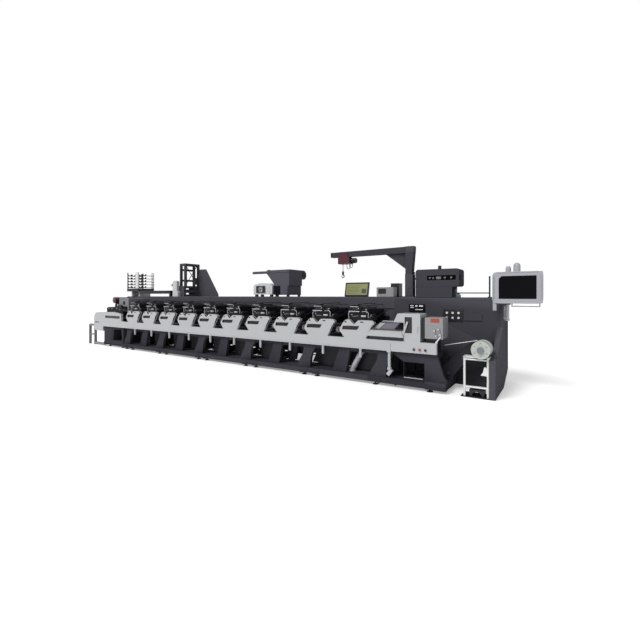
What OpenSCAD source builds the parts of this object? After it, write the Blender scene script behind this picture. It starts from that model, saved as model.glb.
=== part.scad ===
// Ten-station inline label press: long base, print stations, drive housing,
// unwind and rewind ends, slewing hoist crane and operator panels.
// Line coordinates: x = 0 at the first module joint, y = 0 at the front feet,
// z = 0 on the floor. at_centre() moves them to the middle of the footprint.

/* [Line] */
// Distance between neighbouring print stations
unit_pitch = 775; // [700:5:900]
// Diameter of the plate cylinders
plate_d = 118; // [90:1:150]
// Diameter of the impression drums
drum_d = 170; // [140:2:200]
// Diameter of the anilox rolls
anilox_d = 96; // [80:1:110]
// Diameter of the guide rollers between the stations
guide_d = 104; // [80:2:120]

/* [Frame] */
// Height of the levelling feet under the beams
foot_h = 50; // [35:1:70]
// Height of the base beams
beam_h = 90; // [60:5:110]
// Width of the base beams across the line
beam_w = 110; // [80:5:130]
// Diameter of the foot pads
foot_d = 96; // [70:2:120]
// Lower edge of the light apron
apron_z = 590; // [560:5:620]
// Height of the apron rail
apron_h = 175; // [150:5:200]
// Thickness of the apron and cover castings
apron_t = 60; // [30:5:80]

/* [Drive housing] */
// Distance of the housing front from the front feet
house_y = 780; // [740:10:860]
// Depth of the housing
house_d = 680; // [560:10:800]
// Top of the housing over the print stations
house_top = 1488; // [1420:4:1600]
// Height of the proud band along the top of the housing
band_h = 222; // [160:2:260]
// Top of the end wall at the right
wall_top = 1476; // [1380:4:1520]
// Length of the end wall
wall_l = 1840; // [1700:10:2000]

/* [Crane] */
// Distance of the crane axis from the front feet
crane_y = 1000; // [960:5:1040]
// Width of the square crane post
post_w = 140; // [110:2:150]
// Height of the socket that carries the post
socket_h = 436; // [300:4:480]
// Top of the crane arm
arm_top = 2436; // [2380:4:2600]
// Reach of the crane arm from its axis
arm_reach = 1710; // [1500:10:1900]
// Diameter of the crane pivot pin
pivot_d = 80; // [60:2:100]
// Distance of the hoist from the outer end of the arm
hoist_in = 310; // [260:10:420]

/* [Rewind] */
// Diameter of the rewind disc
disc_d = 262; // [220:2:280]
// Height of the rewind axis
disc_z = 716; // [700:4:760]
// Diameter of the rewind spindle
spindle_d = 40; // [26:1:50]
// Width of the rewound roll
roll_w = 240; // [160:10:260]

/* [Monitor] */
// Width of the operator monitor
monitor_w = 680; // [560:10:760]
// Height of the operator monitor
monitor_h = 484; // [400:4:540]
// Diameter of the monitor post
mpost_d = 66; // [50:2:80]
// Diameter of the monitor swivel pin
swivel_d = 30; // [20:1:40]

/* [On the housing] */
// Top of the dryer hood over the housing
hood_h = 616; // [540:4:660]
// Length of the dryer hood along the line
hood_l = 636; // [560:4:700]
// Top of the web tower over the housing
tower_h = 946; // [800:2:1000]
// Top of the roll rack over the housing
rack_h = 762; // [640:2:800]
// Rows of cradles in the roll rack
rack_rows = 5; // [4:1:6]

/* [Hidden] */
$fn = 40;

eps = 0.01;
run_gap = 0.05;     // radial clearance of a running fit
seat = 0.3;         // gap between pieces of different bodies
clear_gap = 12;     // space between a moving piece and what it passes
modules_n = 5;
module_l = 2 * unit_pitch;
lead = 200;         // a housing module starts this far before its joint line
foot_lead = 350;    // a base beam starts this far before its joint line
line_end = modules_n * module_l - lead;
first_notch = -223;
left_end = -1556;   // left end of the drive housing
left_x = -1404;     // left end of the base
left_reach = -2372; // outer face of the left stand
wall_x = line_end;
wall_end = wall_x + wall_l;
base_x1 = line_end + 1160;
beam_top = foot_h + beam_h;
apron_top = apron_z + apron_h;
apron_y = -50;
apron_x1 = base_x1 - 140;
unit_y0 = apron_y + apron_t;
house_back = house_y + house_d;
band_set = 20;      // the housing stands back by this below its band
face_y = house_y + band_set;
house_z = 230;      // lower edge of the drive housing
band_z = house_top - band_h;
door_t = 12;        // rear doors stand proud by this
rail_h = 70;
leg_t = 70;
leg_y = 10;
inner_y = 560;
cross_w = 110;
front_y = -90;      // foremost face: console lip and disc hub

toe_t = 80;
toe_x = wall_end - toe_t;
disc_x = wall_end - 188;
disc_y = -60;
stand_x0 = wall_end - 426;
stand_x1 = wall_end - 101;
table_z = 583;
crane_x = line_end + 230;
mpost_x = wall_end + mpost_d / 2 + clear_gap;
mpost_y = 950;
mpost_top = 1375;
monitor_x = wall_end - 121;
monitor_face = 590;
monitor_z = 1388;
monitor_t = 70;
x_mid = (left_reach + monitor_x + monitor_w) / 2;
y_mid = (front_y + house_back + door_t) / 2;

dark = [0.24, 0.24, 0.28];
black = [0.09, 0.09, 0.1];
light = [0.78, 0.78, 0.8];
white = [0.87, 0.88, 0.88];
steel = [0.66, 0.67, 0.69];
grey = [0.5, 0.5, 0.53];
dark_red = [0.42, 0.15, 0.2];

module at_centre() translate([-x_mid, -y_mid, 0]) children();

// Extrudes an (x, z) outline along y, from y = 0 to y = len
module along_y(len) translate([0, len, 0]) rotate([90, 0, 0]) linear_extrude(len) children();

// Extrudes a (y, z) outline along x, from x = 0 to x = len
module along_x(len) rotate([90, 0, 90]) linear_extrude(len) children();

// A round bar along y
module bar_y(d, len) rotate([-90, 0, 0]) cylinder(d = d, h = len);

// A round bar along x
module bar_x(d, len) rotate([0, 90, 0]) cylinder(d = d, h = len);

// A box with corners at two points
module span(a, b) translate(a) cube(b - a);

// A flat outline with rounded corners, from two opposite corners
module round_rect(a, b, r) {
    translate(a + [r, 0]) square([b[0] - a[0] - 2 * r, b[1] - a[1]]);
    translate(a + [0, r]) square([b[0] - a[0], b[1] - a[1] - 2 * r]);
    for (x = [a[0] + r, b[0] - r], y = [a[1] + r, b[1] - r])
        translate([x, y]) circle(r = r);
}

// A levelling foot under a beam: pad, swivel collar and screw
module foot(x, y) translate([x, y, 0]) {
    cylinder(d = foot_d, h = 12);
    cylinder(d1 = foot_d * 0.62, d2 = foot_d * 0.4, h = 26);
    cylinder(d = 24, h = foot_h);
}

// Outline of the splayed leg under a module joint
module joint_leg() polygon([
    [-190, apron_z], [120, apron_z], [60, 500], [0, 400], [-30, 300], [-40, beam_top],
    [-foot_lead, beam_top], [-300, 250], [-215, 390], [-190, 480]
]);

// Outline of the leaning strut at the middle of a module
module mid_strut() polygon([
    [-150, apron_z], [60, apron_z], [-30, beam_top], [-320, beam_top]
]);

foot_at = [-161, 134];
rear_foot_y = 1235;

// Base of one module: front beam, cross beams under the housing, legs, tray, feet
module base_frame(m) color(dark) at_centre() translate([m * module_l, 0, 0]) {
    x0 = -foot_lead;
    span([x0, -beam_w / 2, foot_h], [x0 + module_l, beam_w / 2, beam_top]);
    for (x = foot_at) {
        span([x - 75, -beam_w / 2 - 8, foot_h - 8], [x + 75, beam_w / 2 + 8, beam_top - 20]);
        span([x - cross_w / 2, beam_w / 2 - eps, foot_h], [x + cross_w / 2, rear_foot_y + 55, beam_top]);
        span([x - cross_w / 2, face_y, beam_top - eps], [x + cross_w / 2, rear_foot_y + 55, house_z]);
        foot(x, 0);
        foot(x, rear_foot_y);
    }
    span([unit_pitch - 200, beam_w / 2 - eps, foot_h], [unit_pitch - 90, inner_y + leg_t, beam_top]);
    span([x0, beam_w / 2 - 20, beam_top - eps], [x0 + module_l, 480, beam_top + 8]);
    for (y = [leg_y, inner_y]) {
        translate([0, y, 0]) along_y(leg_t) joint_leg();
        translate([unit_pitch, y, 0]) along_y(leg_t) mid_strut();
        span([-190, y + 10, apron_z - rail_h], [-190 + module_l, y + leg_t - 10, apron_z]);
    }
}

// Base under the left end: a dark box on feet, open at the front
module left_base() color(dark) at_centre() {
    x0 = left_x;
    x1 = -foot_lead;
    span([x0, -20, foot_h], [x1, 720, beam_top]);
    difference() {
        span([x0, -10, beam_top - eps], [x1, inner_y, apron_z]);
        translate([0, -11, 0]) along_y(400)
            polygon([
                [x0 + 560, apron_z - rail_h], [x1 - 110, apron_z - rail_h], [x1 - 60, 200], [x0 + 500, 200]
            ]);
    }
    for (x = [x0 + 226, x1 - 120], y = [50, 650])
        foot(x, y);
}

// Base under the right end: a portal with a panel over it and a flared outer leg
module right_base() color(dark) at_centre() {
    x0 = line_end - lead + 50;
    x1 = base_x1;
    span([x0, -beam_w / 2, foot_h], [x1, inner_y + leg_t, beam_top]);
    for (y = [leg_y, inner_y]) {
        translate([line_end + lead, y, 0]) along_y(leg_t) joint_leg();
        translate([0, y, 0]) along_y(leg_t) difference() {
            polygon([
                [x1 - 690, beam_top], [x1 + 6, beam_top], [x1 + 6, 166], [x1 - 50, 261], [x1 - 140, 547],
                [x1 - 160, apron_z], [x1 - 850, apron_z], [x1 - 850, apron_z - 60], [x1 - 690, 430]
            ]);
            translate([x1 - 685, 175]) square([340, 255]);
        }
    }
    span([x1 - 680, leg_y - 6, beam_top - eps], [x1 - 366, leg_y + leg_t, 172]);
    span([x0 + 200, leg_y + leg_t - eps, apron_z - 90], [x1 - 170, inner_y + eps, apron_z]);
    span([x1 - 320, -beam_w / 2 - 8, foot_h - 8], [x1, beam_w / 2, beam_top + 20]);
    for (x = [x0 + 130, x1 - 254], y = [0, inner_y])
        foot(x, y);
}

// Closed black drive boxes in the bays under the stations; one bay stays open
open_bay = 7;
module drive_boxes() color(black) at_centre()
    for (i = [0:2 * modules_n - 1]) if (i != open_bay) {
        x0 = floor(i / 2) * module_l + (i % 2 == 0 ? 70 : 790);
        translate([x0, 250, 0]) along_y(inner_y - 250) polygon([
            [0, 190], [40, 165], [430, 165], [460, 190], [460, apron_z - rail_h], [430, apron_z - 20],
            [30, apron_z - 20], [0, apron_z - rail_h]
        ]);
    }

// Cross section of the drive housing: proud band at the top, rear edge tucked in
module housing_section(bottom, top) polygon([
    [face_y, bottom], [house_y + 140, bottom], [house_y + 370, bottom + 78], [house_y + 590, bottom + 160],
    [house_back, bottom + 205], [house_back, top - 40], [house_back - 12, top - 12],
    [house_back - 40, top], [house_y + 20, top], [house_y + 6, top - 6], [house_y, top - 20],
    [house_y, band_z], [face_y, band_z]
]);

// Rear doors of a housing length, as raised panels
module rear_doors(len, z0, z1)
    for (k = [0 : round(len / unit_pitch) - 1]) {
        w = len / round(len / unit_pitch);
        translate([k * w, house_back - eps, 0]) along_y(door_t + eps)
            round_rect([30, z0], [w - 30, z1], 24);
    }

// The five closed lengths of the drive housing
module drive_housings() color(dark) at_centre()
    for (m = [0:modules_n - 1]) translate([m * module_l - lead, 0, 0]) {
        along_x(module_l) housing_section(house_z, house_top);
        rear_doors(module_l, house_z + 260, house_top - 90);
    }

module left_housing() color(dark) at_centre() translate([left_end, 0, 0]) {
    along_x(-lead - left_end) housing_section(house_top - 890, house_top);
    rear_doors(-lead - left_end, house_top - 400, house_top - 90);
}

// The tall end wall at the right, with its toe along the floor and the bored
// boss that carries the rewind spindle
boss_l = 130;
module end_wall() color(dark) at_centre() {
    translate([wall_x, 0, 0]) along_x(wall_l) polygon([
        [house_y, 0], [house_y + 120, 0], [house_y + 370, 98], [house_y + 590, 189], [house_back, 230],
        [house_back, wall_top - 60], [house_back - 18, wall_top - 18], [house_back - 60, wall_top],
        [house_y + 20, wall_top], [house_y + 6, wall_top - 6], [house_y, wall_top - 20]
    ]);
    translate([wall_x, 0, 0]) rear_doors(wall_l, 300, wall_top - 110);
    translate([toe_x, 0, 0]) along_x(toe_t) polygon([
        [0, 0], [house_y + eps, 0], [house_y + eps, 1000], [250, 640], [200, 600], [12, 570], [0, 556]
    ]);
    translate([disc_x, house_y - boss_l, disc_z]) difference() {
        bar_y(spindle_d + 80, boss_l + eps);
        translate([0, -1, 0]) bar_y(spindle_d + 2 * run_gap, boss_l - 4);
    }
}

// Black instrument panels on the front of the end wall
module wall_panels() color(black) at_centre() {
    translate([0, house_y - 16, 0]) along_y(16)
        round_rect([wall_end - 592, 1088], [wall_end - 309, 1212], 12);
    translate([0, house_y - 16, 0]) along_y(16)
        round_rect([line_end + 290, 1214], [line_end + 583, 1353], 8);
}

// Outline of one station's light front cover: rounded head, dip and horn
module cover_outline() {
    polygon([
        [150, -20], [150, 0], [188, 10], [110, 100], [95, 128], [104, 165], [126, 200], [160, 258],
        [205, 303], [259, 323], [304, 312], [352, 268], [388, 240], [428, 276], [470, 300],
        [525, 315], [690, 315], [770, 274], [742, 246], [700, 180], [612, 10], [640, 0], [640, -20]
    ]);
    translate([128, 134]) circle(r = 33);
    translate([258, 258]) circle(r = 65);
    translate([492, 255]) circle(r = 59);
    translate([706, 275]) circle(r = 40);
    translate([744, 272]) circle(r = 26);
}

// Apron rail of one module with two station covers and their handle recesses
module apron(m) color(light) at_centre() translate([m * module_l + first_notch, apron_y, apron_z]) {
    z0 = apron_h;
    difference() {
        union() {
            span([0.2, 0, 0], [module_l - 0.2, apron_t, apron_h]);
            for (k = [0, 1])
                translate([k * unit_pitch, 0, apron_h - eps]) along_y(apron_t) cover_outline();
        }
        for (k = [0, 1]) translate([k * unit_pitch, -1, z0]) {
            along_y(26) polygon([
                [147, 140], [160, 205], [300, 213], [420, 211], [486, 217], [470, 165], [440, 143]
            ]);
            along_y(12) round_rect([196, 266], [240, 290], 8);
            along_y(12) round_rect([505, 272], [572, 292], 8);
        }
        translate([-1, -1, 22]) cube([module_l + 2, 5, 4]);
    }
    for (k = [0, 1]) translate([k * unit_pitch + 500, 30, -143]) {
        cylinder(d = 50, h = 143 + eps);
        sphere(d = 50);
    }
}

// The rounded light body at the left end and the apron up to the first notch
module left_apron() color(light) at_centre() translate([0, apron_y, 0]) {
    x0 = left_x - 535;
    r = 190;
    deep = 560;
    difference() {
        union() {
            along_y(deep) {
                translate([x0 + r, 1006 - r]) circle(r = r);
                translate([x0 + 150, 448 + 150]) circle(r = 150);
                polygon([
                    [x0, 1006 - r], [x0 + r, 1006], [left_x - 0.2, 1012], [left_x - 0.2, 448],
                    [x0 + 150, 448], [x0, 598]
                ]);
            }
            along_y(apron_t) polygon([
                [left_x - eps - 0.2, 1012], [-828, 1029], [-510, 1000], [-400, 960],
                [first_notch - 163, 775], [first_notch - 0.2, apron_top],
                [first_notch - 0.2, apron_z], [left_x - 0.2, apron_z]
            ]);
        }
        translate([0, -1, 0]) along_y(9) round_rect([left_x + 128, 844], [left_x + 933, 919], 16);
        translate([0, -1, 0]) along_y(30) round_rect([x0 + 60, 690], [x0 + 300, 716], 8);
    }
}

// Right end of the apron, with the long prop rod, its clamp and three buttons
module right_apron() color(light) at_centre() {
    x0 = first_notch + modules_n * module_l + 0.2;
    rod_x = line_end + 236;
    rod_z = 276;
    translate([0, apron_y, 0]) along_y(apron_t)
        polygon([[x0, apron_z], [apron_x1, apron_z], [apron_x1, apron_top], [x0, apron_top]]);
    translate([rod_x, apron_y + 30, rod_z]) {
        cylinder(d = 50, h = apron_z - rod_z + eps);
        cylinder(d = 74, h = 40);
        translate([0, 0, -52]) rotate([0, 35, 0]) translate([-30, -26, -40]) cube([60, 52, 110]);
    }
    translate([rod_x, apron_y - 8, apron_z - 20]) along_y(10) round_rect([-34, 0], [34, 150], 12);
    for (k = [0:2])
        translate([apron_x1 - 354 + 92 * k, apron_y - 12, apron_z + 60]) bar_y(46, 13);
}

// Outline of a station's side plate, with the working axes in it
module side_plate() difference() {
    polygon([
        [150, apron_top - 60], [590, apron_top - 60], [612, 860], [600, 1000], [700, 1080], [690, 1130],
        [560, 1110], [520, 1180], [330, 1180], [262, 1090], [225, 1000], [140, 930]
    ]);
    translate([300, 780]) circle(d = 90);
    translate([500, 780]) circle(d = 90);
}

plate_t = 24;
drum_at = [420, 900];
plate_at = drum_at + [-20, (drum_d + plate_d) / 2 - 2];
anilox_at = plate_at + [64, (plate_d + anilox_d) / 2 - 22];
y_in = unit_y0 + plate_t;
y_out = face_y - plate_t;
face_l = y_out - y_in;

// A roll between the side plates: ground face, end collars and journals
module roll(at, d, journal) translate([at[0], 0, at[1]]) {
    translate([0, y_in + 30, 0]) bar_y(d, face_l - 70);
    translate([0, y_in + 12, 0]) bar_y(d * 0.7, face_l - 24);
    translate([0, unit_y0 + 4, 0]) bar_y(journal, face_y - unit_y0 - 4);
}

// A gear on the drive side of a roll
module gear(at, d) translate([at[0], y_out - 34, at[1]]) difference() {
    bar_y(d, 24);
    for (a = [0:20:340])
        rotate([0, a, 0]) translate([0, -1, d / 2 + 1]) bar_y(11, 26);
}

// Closed ink chamber with its blades, against the anilox roll
module ink_chamber() translate([anilox_at[0], y_in - eps, anilox_at[1]]) along_y(face_l + 2 * eps)
    polygon([[20, 42], [44, 16], [118, 34], [140, 78], [120, 128], [60, 142], [14, 96]]);

// Dark heads of the station above the cover, each on a beam from the housing
head_l = 360;
module station_heads() {
    y1 = unit_y0 + 30 + head_l;
    translate([0, unit_y0 + 30, 0]) along_y(head_l) polygon([
        [262, 1090], [300, 1050], [470, 1050], [486, 1090],
        [486, 1300], [450, 1330], [300, 1334], [266, 1290]
    ]);
    translate([0, unit_y0 + 30, 0]) along_y(head_l) difference() {
        polygon([
            [500, 1080], [530, 1060], [600, 1066], [612, 1110],
            [606, 1270], [580, 1302], [520, 1300], [500, 1260]
        ]);
        translate([556, 1190]) circle(d = 50);
    }
    for (x = [350, 530])
        span([x, y1 - eps, 1090], [x + 60, face_y, 1150]);
}

// Bright label bars on two posts in front of the heads
module label_bar(x0, x1, z, d) {
    translate([x0, apron_y + 24, z]) bar_x(d, x1 - x0);
    for (x = [x0 + 24, x1 - 24])
        translate([x, apron_y + 24, z]) bar_y(12, unit_y0 + 30 - apron_y - 24 + 1);
}

module print_unit() {
    for (y = [unit_y0, y_out])
        color(black) translate([0, y, 0]) along_y(plate_t) side_plate();
    color(steel) roll(drum_at, drum_d, 50);
    color(grey) roll(plate_at, plate_d, 36);
    color(steel) roll(anilox_at, anilox_d, 36);
    color(steel) gear(drum_at, drum_d + 6);
    color(steel) gear(plate_at, plate_d + 2);
    for (at = [[210, 850], [560, 790], [196, 935], [566, 960]])
        color(steel) roll(at, 46, 20);
    color(black) ink_chamber();
    color(black) station_heads();
    color(steel) translate([-20, 100, 885]) bar_y(guide_d, y_out - 120);
    color(steel) translate([-20, 60, 885]) bar_y(36, face_y - 60);
    color(light) label_bar(275, 478, 1228, 18);
    color(light) label_bar(520, 604, 1150, 32);
    color(light) label_bar(300, 460, 1310, 12);
}

module print_units(m) at_centre() translate([m * module_l + first_notch, 0, 0])
    for (k = [0, 1])
        translate([k * unit_pitch, 0, 0]) print_unit();

// Unwind end: side plates, infeed rollers, the dark body behind the roll and
// the grey splice unit beside it
unwind_x = -1050;
unwind_z = 1375;
roll_y0 = 100;
roll_l = 130;
module unwind_unit() at_centre() {
    body_y = roll_y0 + roll_l + 14;
    color(black) for (y = [unit_y0, face_y - plate_t])
        translate([0, y, 0]) along_y(plate_t) polygon([
            [-1250, apron_z], [-430, apron_z], [-400, 1000], [-450, 1150], [-700, 1190],
            [-960, 1180], [-1240, 1170], [-1300, 1120], [-1280, 1000]
        ]);
    for (at = [[-1150, 820], [-900, 1000], [-640, 860], [-520, 1080], [-1180, 1080], [-800, 1120]])
        color(steel) roll(at, 80, 30);
    color(grey) translate([0, y_in - eps, 0]) along_y(face_l + 2 * eps)
        round_rect([-1330, 1030], [-1225, 1160], 30);
    color(steel) translate([unwind_x, 60, unwind_z]) bar_y(40, house_y - 60);
    color(black) translate([0, body_y, 0]) along_y(house_y - body_y)
        polygon([[-1290, 1190], [-1200, 1050], [-860, 1050], [-860, 1440], [-1130, 1462], [-1210, 1420]]);
    color(grey) translate([0, 150, 0]) along_y(house_y - 150) difference() {
        round_rect([-861, 1040], [-360, 1444], 26);
        translate([-800, 1100]) square([150, 120]);
        translate([-600, 1290]) circle(d = 130);
    }
    for (z = [1110, 1230])
        color(steel) translate([-780, 60, z]) bar_y(56, 91);
    color(black) span([-640, 120, 1090], [-420, 151, 1190]);
}

// The dark red roll on the unwind shaft
module unwind_roll() color(dark_red) at_centre() translate([unwind_x, roll_y0, unwind_z]) difference() {
    union() {
        bar_y(184, roll_l);
        translate([0, -10, 0]) bar_y(90, roll_l + 20);
    }
    translate([0, -11, 0]) bar_y(40, roll_l + 22);
}

// Tubular stand at the left, tied to the base by a floor rail
module left_stand() color(grey) at_centre() {
    tube = 60;
    x0 = left_reach;
    x1 = left_reach + 328;
    for (x = [x0, x1])
        span([x, 0, 0], [x + tube, tube, 570]);
    translate([0, 0, 0]) along_y(tube) difference() {
        round_rect([x0, 480], [x1 + tube, 630], 60);
        translate([x0 + tube, 480 - eps]) square([x1 - x0 - tube, 90]);
    }
    span([x0 + tube, 10, 286], [x1, 50, 326]);
    span([x1 + tube, 0, 20], [left_x, tube, 80]);
}

// Cabinet on the end wall: right edge stepped in below, slot across its front
module upper_cabinet() color(dark) at_centre() {
    x0 = line_end + 410;
    x1 = line_end + 1167;
    step_z = 1665;
    top = 1975;
    difference() {
        translate([0, house_y, 0]) along_y(380) {
            round_rect([x0, step_z], [x1, top], 45);
            polygon([[x0, wall_top], [x1 - 117, wall_top], [x1 - 117, step_z + 60], [x0, step_z + 60]]);
        }
        translate([0, house_y - 1, 0]) along_y(120) round_rect([x0 + 209, 1779], [x1 - 55, 1862], 10);
    }
    translate([x0 + 209, house_y + 60, 1820]) bar_x(26, x1 - x0 - 264);
    translate([x0 + 380, house_y + 190, top - eps]) cylinder(d = 60, h = 70);
    translate([x0 - 40, house_y + 60, 1815]) bar_x(34, 60);
}

// Tall socket on the end wall that carries the crane post
pin_h = 120;
module crane_socket() color(dark) at_centre() translate([crane_x, crane_y, wall_top]) difference() {
    w = post_w + 10;
    union() {
        translate([-w / 2 - 50, -w / 2 - 50, 0]) cube([w + 100, w + 100, 20]);
        translate([-w / 2, -w / 2, 0]) cube([w, w, socket_h]);
        translate([-6, w / 2 - eps, 0]) along_y(40) polygon([[0, 19], [12, 19], [12, 200], [0, 200]]);
        translate([-w / 2 + 30, -w / 2 - 6, 170]) cube([90, 7, 150]);
    }
    translate([0, 0, socket_h - pin_h - 2]) cylinder(d = pivot_d + 2 * run_gap, h = pin_h + 3);
}

// Slewing jib: pivot pin, tapered post, arm with its lower flange, gusset
arm_h = 120;
arm_w = 90;
flange_w = 140;
flange_t = 14;
wheel_d = 46;
wheel_w = 16;
module crane_jib() color(dark) at_centre() translate([crane_x, crane_y, 0]) {
    z0 = wall_top + socket_h + seat;
    arm_z = arm_top - arm_h;
    reach0 = post_w / 2 + 20;
    translate([0, 0, z0 - pin_h]) cylinder(d = pivot_d, h = pin_h + eps);
    translate([0, -post_w / 2, 0]) along_y(post_w) polygon([
        [-post_w / 2, z0], [post_w / 2 - 20, z0],
        [post_w / 2 + 20, arm_top - 60], [post_w / 2 + 20, arm_top],
        [-post_w / 2, arm_top]
    ]);
    translate([0, -arm_w / 2, 0]) along_y(arm_w) polygon([
        [reach0, arm_top], [reach0, arm_z], [-arm_reach, arm_z], [-arm_reach, arm_top - 16]
    ]);
    span([-arm_reach, -flange_w / 2, arm_z], [reach0, flange_w / 2, arm_z + flange_t]);
    span([-arm_reach - 12, -flange_w / 2, arm_z], [-arm_reach + eps, flange_w / 2, arm_top - 16]);
    translate([0, -20, 0]) along_y(40)
        polygon([[-post_w / 2 + eps, arm_z + eps], [-486, arm_z + eps], [-post_w / 2 + eps, 2004]]);
    translate([reach0 - 40, 0, z0 + 20]) bar_x(34, 44);
}

// Hoist trolley: wheels on the lower flange, cheeks, winch, motor, hook
hoist_r = arm_reach - hoist_in;
module hoist() at_centre() translate([crane_x - hoist_r, crane_y, 0]) {
    arm_z = arm_top - arm_h;
    wheel_z = arm_z + flange_t + wheel_d / 2 + seat;
    cheek = flange_w / 2 + 6;
    color(dark_red) translate([0, -cheek - 10, 0]) along_y(2 * cheek + 20)
        round_rect([-135, arm_z - 152], [135, arm_z - 12], 24);
    color(dark_red) for (s = [0, 1]) mirror([0, s, 0])
        translate([0, cheek, 0]) along_y(10)
            polygon([[-110, arm_z - 40], [110, arm_z - 40], [80, wheel_z + 26], [-80, wheel_z + 26]]);
    color(steel) for (s = [0, 1], x = [-42, 42]) mirror([0, s, 0])
        translate([x, arm_w / 2 + 6, wheel_z]) {
            bar_y(wheel_d, wheel_w);
            bar_y(18, cheek - arm_w / 2 - 6 + eps);
        }
    color(black) translate([135 - eps, 0, arm_z - 84]) bar_x(98, 120);
    color(black) translate([-60, 0, arm_z - 340]) cylinder(d = 12, h = 200);
    color(black) translate([-60, 0, arm_z - 370]) cylinder(d = 44, h = 70);
    color(black) translate([-60, -8, arm_z - 400]) along_y(16) difference() {
        circle(d = 70);
        circle(d = 38);
        translate([-40, -4]) square([40, 24]);
    }
}

// Display at the front edge of the housing, leaning back
module display() color(black) at_centre() translate([line_end - 1093, house_y + 8, house_top]) {
    translate([0, 30, 8]) rotate([-12, 0, 0]) difference() {
        cube([529, 32, 284]);
        translate([22, -1, 24]) cube([485, 6, 236]);
    }
    translate([40, 0, 0]) cube([449, 140, 16]);
    for (x = [90, 400])
        translate([x, 0, 0]) along_x(36) polygon([[40, 10], [136, 10], [136, 16], [104, 200], [90, 200]]);
}

// Sloped operator console at the right end of the apron, with its side arm
cab_x0 = line_end + 340;
cab_step = 155;     // the cabin's lower part stands back by this over the console
cab_z = 1070;       // lower edge of the cabin over the console
module console() color(light) at_centre() {
    x0 = line_end - 150;
    x1 = cab_x0 + cab_step - 0.3;
    low = apron_top + 62;
    back_y = 300;
    back_z = cab_z - 4;
    intersection() {
        translate([x0, 0, 0]) along_x(x1 + 10 - x0) polygon([
            [front_y, low], [front_y, 905], [front_y + 30, 922], [back_y, back_z], [back_y, low]
        ]);
        translate([0, front_y, 0]) along_y(apron_y - 0.3 - front_y) polygon([
            [x0, low - 1], [x1 + 8, low - 1], [x1 - 38, 926], [x0 + 72, 926], [x0, 836]
        ]);
    }
    intersection() {
        translate([x0, 0, 0]) along_x(x1 - x0) polygon([
            [front_y + 30, 922], [back_y, back_z], [back_y, low], [front_y + 30, low]
        ]);
        translate([0, front_y, 0]) along_y(back_y - front_y + 1) polygon([
            [x0, low - 1], [x1, low - 1], [x1, 1090], [x0 + 152, 1090], [x0, 836]
        ]);
    }
    translate([0, apron_y - 12, 0]) along_y(11.7)
        polygon([[x1 - 34, 842], [x1 - 4, 842], [x1 + 78, 1082], [x1 + 50, 1090]]);
    color(black) span([x0 + 10, apron_y + 30, apron_top], [x1 - 8, back_y, low + eps]);
}

// Cabin with a dark window, stepped back below over the console
module window_cab() color(light) at_centre() translate([0, apron_y, 0]) {
    x1 = cab_x0 + 424;
    top = 1216;
    difference() {
        along_y(apron_t + 270) polygon([
            [cab_x0 + cab_step, apron_top], [x1, apron_top], [x1, top - 14],
            [x1 - 14, top], [cab_x0 + 60, top],
            [cab_x0 + 42, top - 14], [cab_x0 - 20, cab_z], [cab_x0 + cab_step, cab_z]
        ]);
        translate([0, -1, 0]) along_y(14) round_rect([cab_x0 + 170, 903], [cab_x0 + 292, 1161], 10);
        translate([0, -1, 0]) along_y(10) round_rect([x1 - 44, 900], [x1 - 26, 1010], 6);
    }
}

// Boxes beside the cabin and on the housing at the crane
module control_boxes() at_centre() {
    bx = base_x1 - 335;
    color(light) translate([0, 0, 0]) along_y(300) round_rect([bx, 829], [bx + 279, 1161], 12);
    color(black) span([bx + 20, 60, apron_z], [base_x1 - 170, 300, 830]);
    color(black) translate([0, 0, 0]) along_y(280)
        polygon([[bx - 60, apron_top + 60], [bx + eps, apron_top + 60], [bx + eps, 1150], [bx - 60, 1150]]);
    gx = line_end - 366;
    color(light) difference() {
        translate([0, house_y + 12, 0]) along_y(190)
            round_rect([gx, house_top], [gx + 342, house_top + 180], 14);
        translate([0, house_y + 11, 0]) along_y(9)
            round_rect([gx + 40, house_top + 60], [gx + 190, house_top + 140], 8);
    }
    color(light) span([gx, house_y + 12, house_top], [gx + 342, house_y + 202, house_top + 20]);
    color(black)
        span([gx + 197, house_y + 240, house_top], [gx + 366 - 0.5, house_y + 420, house_top + 259]);
}

// Rack for spare rolls over the left end: posts and rows of scalloped cradles
module roll_rack() color(black) at_centre() {
    x0 = left_end - 47;
    x1 = x0 + 629;
    y0 = house_y + 20;
    y1 = y0 + 545;
    deck = house_top + 160;
    top = house_top + rack_h;
    row = (top - deck - 130) / rack_rows;
    cradle = (y1 - y0 - 30) / 4;
    span([x0, y0, deck], [x1, y1, deck + 90]);
    for (x = [left_end + 60, x1 - 120])
        span([x, y0 + 90, house_top], [x + 60, y1 - 90, deck + eps]);
    span([x1 - eps, y0 + 40, deck - 80], [620, y0 + 130, deck + 12]);
    span([560, y0 + 40, house_top], [620, y0 + 130, deck - 80 + eps]);
    for (p = [[x0, y0, 24], [x1 - 150, y0, 150], [x1 - 110, y1 - 30, 110], [x0, y1 - 30, 30]])
        span([p[0], p[1], deck + 90 - eps], [p[0] + p[2], p[1] + 30, top]);
    for (side = [[x0 + 2, 4], [x1 - 26, 2]], k = [0:rack_rows - 1])
        translate([side[0], 0, deck + 110 + row * k]) along_x(22) difference() {
            translate([y0 + 10, 0]) square([side[1] * cradle + 10, 66]);
            for (n = [0:side[1] - 1])
                translate([y0 + 80 + n * cradle, 68]) circle(d = 88);
        }
    for (k = [0:rack_rows - 1])
        translate([0, 0, deck + 110 + row * k])
            span([x1 - 24, y0 + 20 + 2 * cradle - eps, 0], [x1 - 8, y1 - 29, 18]);
}

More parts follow.
